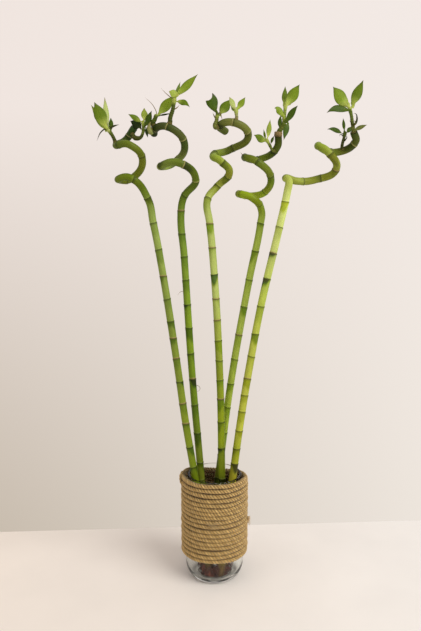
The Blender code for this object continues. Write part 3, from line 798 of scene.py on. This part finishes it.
def jar_inside(clear):
    """The jar's inner wall, from the floor's centre up, a clearance inside it."""
    wall, floor = JAR_WALL + clear, JAR_FLOOR + clear
    bend = corner(JAR_RADIUS - wall, JAR_BASE_RADIUS - wall, JAR_CORNER_HEIGHT, floor, 14)
    return np.vstack([(0, floor), bend])


def build_jar():
    """Outer wall up to a rolled rim, and back down inside. The base has a shallow foot ring."""
    outside = corner(JAR_RADIUS, JAR_BASE_RADIUS, JAR_CORNER_HEIGHT, 0, 16)
    share = np.linspace(0, 1, 9)
    shoulder = np.stack([JAR_RADIUS + (JAR_MOUTH_RADIUS - JAR_RADIUS) * ease(0, 1, share),
                         JAR_SHOULDER_Z + (JAR_HEIGHT - JAR_NECK - JAR_SHOULDER_Z) * share], -1)
    half, turn = JAR_WALL / 2, math.pi * share
    rim = np.stack([(1 + 0.12 * np.sin(turn)) * np.cos(turn) - 1, np.sin(turn) - 1], -1)
    rim = half * rim + (JAR_MOUTH_RADIUS, JAR_HEIGHT)
    inner_wall = (shoulder - (JAR_WALL, 0))[::-1]
    profile = np.vstack([JAR_FOOT, outside, shoulder, rim, inner_wall, jar_inside(0)[::-1]])
    revolve(profile, (235, 242, 238)).piece("jar", "pressed_glass", "clear_glass", "glass_jar")


def build_water():
    """Fills the jar to its level, with a small meniscus up the wall."""
    reach = JAR_RADIUS - JAR_WALL + WATER_BITE
    share = np.array([0, *np.linspace(0.15, 1, 7)])
    heights = WATER_LEVEL + MENISCUS * (1 - share) ** 2
    top = np.stack([reach - MENISCUS_WIDTH * share, heights], -1)
    profile = np.vstack([jar_inside(-WATER_BITE), top, (0, WATER_LEVEL)])
    revolve(profile, (238, 242, 236)).piece("vase_water", "vase_water", "water", "water")


def rope_heart(angles):
    """The rope's centreline at angles counted from its lower end."""
    turns = (angles - ROPE_FRONT) / TURN
    last = len(TURN_HEIGHTS) - 1
    pitch = (TURN_HEIGHTS[-1] - TURN_HEIGHTS[0]) / last
    level = np.interp(turns, np.arange(last + 1), TURN_HEIGHTS)
    level += pitch * (np.minimum(turns, 0) + np.maximum(turns - last, 0))
    share = (angles - ROPE_START) / ROPE_SWEEP
    sway = -pitch / TURN * np.cos(angles)
    dip = ROPE_BACK_DIP * np.maximum(0, np.sin(angles)) ** 2 * share
    wander = 0.42 * np.sin(angles * 2.3 + 1) * np.sin(angles * 0.71) + 0.2 * np.sin(angles * 5.7)
    reach = ROPE_REACH + 0.34 * np.sin(angles * 3.1 + 0.4) * np.sin(angles * 0.53 + 2)
    height = level + sway - dip + wander
    return np.stack([reach * np.cos(angles), reach * np.sin(angles), height], -1)


def strand(shape, heart, marks, phase):
    """One strand round the rope's heart, with painted shade inside, towards the jar and between
    turns.
    """
    ahead = unit(np.gradient(heart, axis=0))
    outward = square_to(ahead, heart * LEVEL)
    upward = np.cross(ahead, outward)
    turn = phase + TURN * marks / STRAND_LAY
    swing = np.cos(turn)[:, None] * outward + ROPE_TALL * np.sin(turn)[:, None] * upward
    lump = 1 + 0.04 * np.sin(marks * 1.7 + phase * 3) + 0.03 * np.sin(marks * 0.63 + phase)
    taper = ease(-0.6 * ROPE_TAPER, ROPE_TAPER, np.minimum(marks, marks[-1] - marks))
    route = heart + swing * (STRAND_ORBIT * lump * taper)[:, None]
    heading = unit(np.gradient(route, axis=0))
    away = square_to(heading, swing)
    angles = around(STRAND_SIDES)
    size = STRAND_RADIUS * taper * (1 + 0.05 * np.sin(marks * 0.9 + phase * 2))
    section = swung(angles, away, np.cross(heading, away))
    points = route[:, None] + section * size[:, None, None]
    flows = ring_flows(angles, STRAND_RADIUS, marks[:, None], phase * 7)
    # Painted shade: the side facing into the rope, the side facing the jar and the gaps between the
    # turns are darkened in the colour.
    core_side_shade = ease(0.9, 0.1, np.cos(angles))[None, :, None]
    jar_side_shade = ease(0.3, -0.7, (section * outward[:, None]).sum(-1))[..., None]
    rise = np.abs(((points - heart[:, None]) * upward[:, None]).sum(-1))
    crevice_shade = ease(0.62, 1, rise / (ROPE_TALL * (STRAND_ORBIT + STRAND_RADIUS)))[..., None]
    light = mix(*linear(ROPE_COLOURS), 0.5 + 0.5 * np.sin(marks * 0.021 + phase))[:, None]
    # The rope's colour darkened by the painted shade.
    tints = light * (1 - 0.7 * core_side_shade) * (1 - 0.6 * jar_side_shade) * (1 - 0.6 * crevice_shade)
    shape.rings(route, points, tints, flows)


def build_rope():
    """The wound rope and its short loose end."""
    steps = round(ROPE_SWEEP * ROPE_REACH / ROPE_STEP)
    wound = rope_heart(ROPE_START + ROPE_SWEEP * np.linspace(0, 1, steps + 1))
    loose = Curve(ROPE_LOOSE_END).even(ROPE_STEP)
    shape = Shape()
    for heart, marks in ((wound, lengths_along(wound)), (loose, np.arange(len(loose)) * ROPE_STEP)):
        for number in range(STRAND_COUNT):
            strand(shape, heart, marks, TURN * number / STRAND_COUNT)
    shape.piece("rope", "jute_fibre", "jute", "jute_rope")


def hair(shape, start, heading, lift, lengths, radii, colour):
    """A thin fibre that starts along a heading and bends towards the lift."""
    length, radius = spread(*lengths), spread(*radii)
    share = np.linspace(0, 1, HAIR_STEPS)[:, None]
    route = start + heading * length * share + lift * length * share**2
    shape.tube(route, radius * (1 - 0.7 * share[:, 0]), 3, linear(colour), spread(0, 90))


def build_fibres():
    """The rope's dark packing against the jar as painted shade, its loose fibres, frayed tuft and
    splice.
    """
    shape = Shape()
    angles = np.linspace(ROPE_START, ROPE_START + ROPE_SWEEP - TURN, FILL_STEPS)
    fill = 0.5 * (rope_heart(angles) + rope_heart(angles + TURN))
    fill[:, :2] *= FILL_REACH / np.linalg.norm(fill[:, :2], axis=1)[:, None]
    # The dark packing between the turns is painted shade.
    shape.tube(fill, FILL_RADIUS, 5, linear(FILL_SHADE_COLOUR), 0, UP)
    for _ in range(FIBRE_COUNT):
        angle = ROPE_START + ROPE_SWEEP * spread(0.01, 0.995)
        places = rope_heart(np.array([angle, angle + 0.02]))
        ahead = unit(places[1] - places[0])
        tilt = spread(-1.3, 1.3)
        away = unit(places[0] * LEVEL) * math.cos(tilt) + UP * math.sin(tilt)
        start = places[0] + away * (STRAND_ORBIT + STRAND_RADIUS - 0.5)
        heading = unit(ahead * random.choice([-1, 1]) + away * spread(0.1, 0.5))
        lift = away * spread(0, 0.35) + UP * spread(-0.25, 0.25)
        colour = FIBRE_COLOURS[0 if random.random() < 0.6 else 1]
        hair(shape, start, heading, lift, (2.5, 7), (0.05, 0.09), colour)
    tuft = np.array(TUFT_PLACE)
    stub = Curve(tuft + TUFT_STUB).even(0.5)
    shape.tube(stub, np.linspace(1.5, 0.7, len(stub)), 8, linear(TUFT_COLOURS[0]))
    for _ in range(TUFT_FIBRES):
        heading = unit(np.array([1, spread(-0.9, 0.7), spread(-1.3, 1.5)]))
        start = tuft + (0, spread(-1.2, 1.2), spread(-3, 4.2))
        lift = np.array([0, spread(-0.3, 0.3), spread(-0.5, 0.3)])
        hair(shape, start, heading, lift, (2.5, 5), (0.14, 0.34), TUFT_COLOURS[1])
    for _ in range(SPLICE_FIBRES):
        start = compass(ROPE_FRONT + spread(-0.2, 0.12)) * (ROPE_REACH + 2.5)
        start[2] = SPLICE_HEIGHT + spread(-3.5, 3.5)
        heading = unit(np.array([random.choice([-1, 1]), -0.12, spread(-0.5, 0.5)]))
        hair(shape, start, heading, BACK * 0.15, (4, 9), (0.12, 0.26), SPLICE_COLOUR)
    shape.piece("rope_fibres", "jute_fibre", "jute")


def cane_rings(marks, cane, seed):
    """How far each point lies above each node ring. The rings lean a little to one side."""
    leans = np.random.default_rng(seed).uniform(0, TURN, len(cane.nodes))
    return [
        marks[:, None] - node - RING_LEAN * np.cos(around(CANE_SIDES) - lean)
        for node, lean in zip(cane.nodes, leans)
    ]


def cane_colours(marks, cane, rings, seed):
    """Each internode fades from pale at its foot to deep green under its upper node."""
    chance = np.random.default_rng(seed + 50)
    skin = np.array(cane.skin, float)
    tones = np.stack([np.interp(marks, skin[:, 0], tone) for tone in linear(skin[:, 1:]).T], -1)
    light, deep = tones[:, None, :3], tones[:, None, 3:]
    nodes = np.array([0, *cane.nodes, marks[-1] + 20])
    inside = np.clip(np.searchsorted(nodes, marks, "right") - 1, 0, len(nodes) - 2)
    share = ((marks - nodes[inside]) / (nodes[inside + 1] - nodes[inside]))[:, None]
    angles = around(CANE_SIDES)
    depth, start, lean, ripple = (
        chance.uniform(low, high, len(nodes))
        for low, high in ((0.6, 1), (0.45, 0.75), (0, TURN), (0, TURN))
    )
    for which, dark in cane.shades.items():
        depth[which] = dark
        start[which] = 0.66 if dark > 1 else start[which]
    depth, start, lean, ripple = (row[inside][:, None] for row in (depth, start, lean, ripple))
    start = start + 0.2 * np.cos(angles - lean) + 0.07 * np.sin(angles * 3 + ripple)
    patch = ease(0, 0.24, share - start) * depth
    fade = patch + 0.35 * ease(0.25, 1, share) * np.clip(1 - patch, 0, 1)
    fade = np.maximum(fade, 0.3 * ease(0.12, 0, share))
    round_it = 1 + 0.06 * np.sin(angles * 2 + marks[:, None] * 0.013 + seed)
    colours = np.maximum(mix(light, deep, fade) * round_it[..., None], light * 0.14)
    colours = mix(colours, linear(FOOT_COLOUR), 0.85 * ease(21, 9, marks)[:, None])
    for which, (node, ring) in enumerate(zip(cane.nodes, rings)):
        bright = np.minimum(colours * 1.25 + 0.02, 1)
        colours = mix(colours, bright, bell(ring - 1.3, 0.7) * 0.6)
        if which in cane.scarred:
            colours = mix(colours, linear(SCAR_COLOUR), 0.8 * bell(ring - 0.5, 0.9))
        line = linear(RING_COLOURS[node > cane.pale_from])
        colours = mix(colours, line, 0.85 * bell(ring, 0.45))
        colours = mix(colours, colours * 0.62, bell(ring + 1.1, 0.8) * 0.8)
    return colours


def build_cane(number, cane):
    """A cane, slightly out of round, swollen at its nodes, with its cut end rounded over."""
    curve = Curve(cane.route)
    end = curve.length
    last_mark = end - CUT_BACK
    steps = [node + step for node in cane.nodes for step in RING_STEPS]
    marks = np.concatenate([np.arange(0, last_mark, CANE_STEP), steps])
    marks = np.unique(np.clip(marks, 0, last_mark))
    marks = marks[np.concatenate([[True], np.diff(marks) > 0.12])]
    first, last = cane.radii
    rings = cane_rings(marks, cane, number)
    radii = (first + (last - first) * marks / end)[:, None]
    radii = radii + 0.05 * np.sin(around(CANE_SIDES) * 2 + marks[:, None] * 0.05 + number)
    for ring in rings:
        for swell, above, width in RING_SWELLS:
            radii = radii + swell * bell(ring - above, width)
    tints = cane_colours(marks, cane, rings, number)
    route = curve.at(np.concatenate([marks, [end - 0.15, end, end]]))
    route[-1] += unit(route[-2] - route[-3]) * 0.02
    route[0] -= unit(route[1] - route[0]) * FOOT_DROP
    radii = np.vstack([radii, radii[-1:] - 0.15, radii[-1:] - 0.5, radii[-1:] * 0.5])
    tints = np.concatenate([tints, tints[-1:], tints[-1:] * 0.7, tints[-1:] * 0.6])
    shape = Shape()
    shape.tube(route, radii, CANE_SIDES, tints, number * 900)
    shape.piece(f"bamboo_{number}", "cane_skin", f"cane_{number}_skin", f"cane_{number}")


def seat_on_cane(cane, place):
    """Where a shoot near that place leaves its cane, and which way."""
    points = Curve(cane.route).points
    nearest = int(np.linalg.norm(points - place, axis=1).argmin())
    if nearest >= len(points) - 2:
        outward = unit(points[-1] - points[-3])
        return points[-1] - outward * 0.5, outward
    outward = unit(place - points[nearest])
    return points[nearest] + outward * (cane.radii[1] - 0.6), outward


def build_stem(name, number):
    """A short stem with close leaf scars, a sheath under each leaf and a dry foot."""
    (first, last), (low, high, stout), (place, *others), *leaves = SHOOTS[name]
    start, outward = seat_on_cane(CANES[int(name[0])], place)
    curve = Curve([start, start + outward * 2.4, *others])
    route = curve.even(SHOOT_STEP)
    share = np.linspace(0, 1, len(route))
    marks = share * curve.length
    radii = (first + (last - first) * share) * (1 + (stout - 1) * (1 - share))
    radii = radii + 0.55 * bell(marks, 1.6)
    tints = mix(linear(low), linear(high), share)
    scars = np.cumsum(np.random.default_rng(number + 300).uniform(2, 3.4, 12))
    for scar in scars[scars < curve.length - 1]:
        radii = radii + 0.18 * bell(marks - scar, 0.35)
        tints = mix(tints, tints * 0.45, 0.8 * bell(marks - scar, 0.4))
    for leaf in leaves:
        above = marks - leaf[0] * curve.length
        sheath = ease(-4.5, -0.6, above) * ease(0.5, 0.1, above)
        radii = radii + 0.3 * sheath
        tints = mix(tints, linear(LEAF_COLOURS[leaf[5]][0]), 0.55 * sheath)
    tints = mix(tints, linear(SHOOT_SCAR), 0.7 * ease(3, 0.6, marks))
    radii = np.concatenate([radii, radii[-1:] * 0.7, radii[-1:] * 0.25])
    tip = unit(route[-1] - route[-2])
    route = np.vstack([route, route[-1] + tip * 0.5, route[-1] + tip * 0.75])
    shape = Shape()
    shape.tube(route, radii, SHOOT_SIDES, np.vstack([tints, tints[-1:], tints[-1:]]), number * 70)
    shape.piece(f"stem_{name}", "shoot_skin", "shoot", f"shoot_{name}")
    return curve


def build_wisps():
    """Curled dry leaf ends, sheaths and rootlets, each grown out of its stem or cane."""
    for name, wisps in WISPS.items():
        shape = Shape()
        for radius, colours, *points in wisps:
            route = Curve(points).even(0.45)
            share = np.linspace(0, 1, len(route))
            radii = np.minimum(1, 0.55 + share * 2) * (1 - share**2.2)
            tints = mix(*linear(colours), share)
            shape.tube(route, radius * np.maximum(0.12, radii), 8, tints, radius * 60)
        shape.piece(name, "shoot_skin", "shoot")


def build_dried_end():
    """The brown, ragged cap where a cane's tip was cut and dried."""
    cane, radius, (start, end), colours = DRIED_END
    curve = Curve(CANES[cane].route)
    ahead = unit(curve.points[-1] - curve.points[-3])
    share = np.linspace(0, 1, 15)[:, None]
    route = curve.points[-1] + ahead * (start + (end - start) * share)
    angles = around(24)
    ragged = 1 + 0.05 * np.sin(angles * 3 + 1) + 0.03 * np.sin(angles * 7)
    radii = radius * ragged * (1 - 0.12 * np.abs(share - 0.45) ** 1.5)
    radii = radii - 0.7 * ease(0.9, 1, share) + 0.14 * np.sin(share * 19 + angles)
    tints = mix(*linear(colours), ease(0, 0.6, share)) * ragged[:, None] ** 3
    shape = Shape()
    shape.tube(route, radii, 24, tints)
    shape.piece("dried_end_4", "shoot_skin", "shoot")


def blade_share(s, broad):
    """How wide a leaf is along its length: a neck, broad near the middle, a fine tip."""
    body = np.sin(math.pi * np.clip(s, 0, 1) ** 1.06) ** 1.25
    neck = 0.66 * (1 - s) ** 0.9 if broad else 0.42 * (1 - s) ** 1.5
    return np.maximum(body, neck)


def build_leaf(label, stem, radii, leaf, number):
    """A blade whose foot clasps the stem, cupped, gently waved, and painted by its colour name."""
    share, side, tip, width, arch_up, colour, roll = leaf
    radius = radii[0] + (radii[1] - radii[0]) * share + SHEATH_CLEAR
    place = stem.at(np.array([share, min(1, share + 0.02), max(0, share - 0.02)]) * stem.length)
    heading = unit(place[1] - place[2])
    outward = square_to(heading, compass(math.radians(side)))
    base = np.array(LEAF_STARTS.get(label, place[0] + outward * radius), float)
    chord = tip - base
    length = np.linalg.norm(chord)
    ahead = base + unit(unit(chord) + outward * 0.35 + heading * 0.4) * length * 0.3
    later = base + chord * 0.62 + UP * arch_up
    edge = np.linspace(-1, 1, BLADE_COLS)
    rows = np.linspace(0, 1, BLADE_ROWS)[:, None] ** 1.1
    s = rows * np.interp(edge, *TORN_LEAVES.get(label, ((-1, 1), (1, 1))))
    midrib = bezier(base, ahead, later, tip, s[..., None])
    along = unit(np.gradient(midrib, axis=0))
    base_across = unit(np.cross(outward, heading))
    face_across = unit(np.cross(chord, BACK))
    if base_across.dot(face_across) < 0:
        base_across = -base_across
    lean = math.radians(roll)
    face_across = face_across * math.cos(lean) + np.cross(unit(chord), face_across) * math.sin(lean)
    across = mix(base_across, face_across, ease(0, 0.4, s))
    across = square_to(along, across)
    lift = np.cross(across, along)
    reach = s * (TORN_SPAN if label in TORN_LEAVES else 1)
    half = 0.5 * BLADE_WIDEN * width * blade_share(reach, label in BROAD_LEAVES)
    clasp = min(0.4 * math.pi * radius, 0.34 * width)
    half = np.maximum(half, clasp * ease(0.14, 0.03, s))
    bend = (1 / radius) * ease(0.2, 0.04, s) + 0.3 / max(width, 4)
    turn = bend * half * edge
    sideways = np.sin(turn) / bend
    rise = (1 - np.cos(turn)) / bend
    fold = 0.10 * half * np.abs(edge) * ease(0.1, 0.4, s)
    phase = np.random.default_rng(number + 700).uniform(0, 1)
    wave = 0.04 * width * np.sin(TURN * (s * 1.6 + phase) + edge * 1.3)
    wave = wave * edge**2 * ease(0.15, 0.5, s)
    points = midrib + across * sideways[..., None] + lift * (rise + fold + wave)[..., None]
    foot, blade, end = linear(LEAF_COLOURS[colour])
    tints = mix(foot, blade, ease(0.04, 0.52, s))
    tints = mix(tints, end, ease(0.78, 1, s) * 0.85)
    tints = tints * (1.05 - 0.2 * np.abs(edge) ** 3)[:, None]
    tints = mix(tints, linear(LEAF_DRY_TIP), ease(0.965, 1, rows) * 0.7)
    flows = np.stack([sideways, np.full(s.shape, number * 37), s * length], -1)
    shape = Shape()
    shape.grid(points, tints, flows, False)
    blade_piece = shape.piece(f"blade_{label}", "leaf_skin", "leaf", f"leaf_{label}")
    shell = blade_piece.modifiers.new("thickness", "SOLIDIFY")
    shell.thickness = BLADE_THICK * MM
    shell.offset = 0


def build_shoots():
    number = 0
    for order, (name, (radii, _, _, *leaves)) in enumerate(SHOOTS.items()):
        curve = build_stem(name, order)
        for which, leaf in enumerate(leaves, 1):
            number += 1
            build_leaf(f"{name}_{which}", curve, radii, leaf, number)


def build_roots():
    """Fine rusty roots round each foot, with a few straying along the jar's floor."""
    for number, cane in CANES.items():
        chance = np.random.default_rng(number + 900)
        foot, rim = np.array(cane.route[:2], float)
        along = unit(rim - foot)
        foot = foot - along * FOOT_DROP
        shape = Shape()
        for which in range(ROOT_COUNT):
            stray = 6 if which % 9 == 0 else 0
            angle = chance.uniform(0, TURN)
            climb = chance.uniform(0.5, 14)
            reach = cane.radii[0] - 0.5
            points = []
            for _ in range(5):
                point = foot + along * max(climb, 0) + compass(angle) * reach
                point[2] = max(point[2], JAR_FLOOR + chance.uniform(0.6, 1.6))
                point[:2] *= min(1, ROOT_REACH / math.hypot(point[0], point[1]))
                points.append(point)
                angle += chance.uniform(-0.9, 0.9)
                climb -= chance.uniform(0, 4.5)
                reach = min(reach + chance.uniform(0, 2.2) + stray * 0.25, 9.5 + stray)
            route = Curve(points).even(0.9)
            radii = np.linspace(chance.uniform(0.45, 0.7), 0.25, len(route))
            tints = mix(*linear(ROOT_COLOURS), np.full(len(route), chance.uniform(0, 1)))
            shape.tube(route, radii, 6, tints, chance.uniform(0, 50))
        shape.piece(f"root_tuft_{number}", "root_skin", "root", f"roots_{number}")


def main():
    bpy.context.scene.view_settings.view_transform = "Standard"
    build_camera()
    build_room()
    build_lights()
    build_table()
    for name in CLEARS:
        clear_material(name)
    jute_material()
    for name in SKINS:
        grown_material(name)
    build_jar()
    build_water()
    build_rope()
    build_fibres()
    for number, cane in CANES.items():
        build_cane(number, cane)
    build_shoots()
    build_wisps()
    build_dried_end()
    build_roots()


main()
